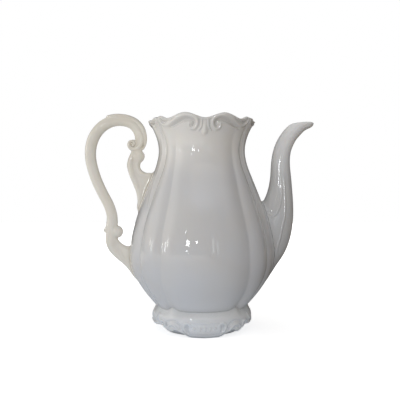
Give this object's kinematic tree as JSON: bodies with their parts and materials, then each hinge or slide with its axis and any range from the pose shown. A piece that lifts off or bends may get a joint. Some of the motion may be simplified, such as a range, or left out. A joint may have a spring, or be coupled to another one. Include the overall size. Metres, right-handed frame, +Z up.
{
  "type": "coffee pot",
  "caption": "Tall fluted porcelain coffee pot with a pear-shaped body, wavy rim, scalloped foot, S-curved spout and scroll handle, open at the top to take a lid.",
  "frame": {"origin": "on the table, under the middle of the pot's whole length from handle to spout; the pot's own axis stands 1.96 mm further along +X", "axes": "+X towards the spout, -X towards the handle, +Z up"},
  "size_m": [0.2002, 0.1246, 0.1888],
  "materials": {
    "white_glaze": "glossy",
    "cream_glaze": "glossy",
    "slip": "satin"
  },
  "bodies": {
    "root": {"body": "white_glaze", "foot_ring": "white_glaze", "foot_slip_joint": "slip", "spout": "white_glaze", "spout_slip_joint": "slip", "handle": "cream_glaze", "upper_handle_slip_joint": "slip", "lower_handle_slip_joint": "slip"}
  },
  "joints": []
}
